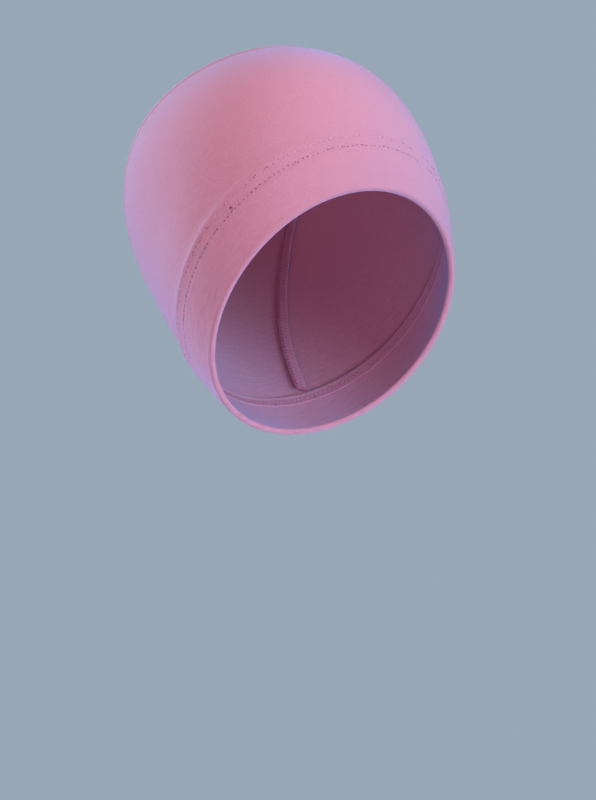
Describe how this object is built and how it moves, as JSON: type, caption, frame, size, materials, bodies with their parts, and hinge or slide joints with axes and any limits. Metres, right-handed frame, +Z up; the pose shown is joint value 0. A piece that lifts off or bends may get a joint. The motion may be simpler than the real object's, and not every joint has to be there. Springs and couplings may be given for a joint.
{
  "type": "jersey sleep cap",
  "caption": "Close-fitting jersey sleep cap with a horseshoe-seamed back panel and a deep turned hem round the face and the nape, in the form it has when worn.",
  "frame": {"origin": "where the crown of the head touches the inside of the cap, at its highest point", "axes": "+Z up, the wearer faces -Y, +X is the wearer's left"},
  "size_m": [0.1666, 0.191, 0.2153],
  "materials": {
    "jersey": "dusty pink cotton jersey, matt with a soft lavender sheen at grazing angles",
    "hem_jersey": "the same jersey folded double at the hem, matt, with two rows of stitches",
    "overlock_thread": "pink overlock thread round a raw jersey edge, matt"
  },
  "bodies": {
    "root": {"hem_band": "hem_jersey", "front_panel": "jersey", "back_panel": "jersey", "seam_allowance": "overlock_thread"}
  },
  "joints": []
}
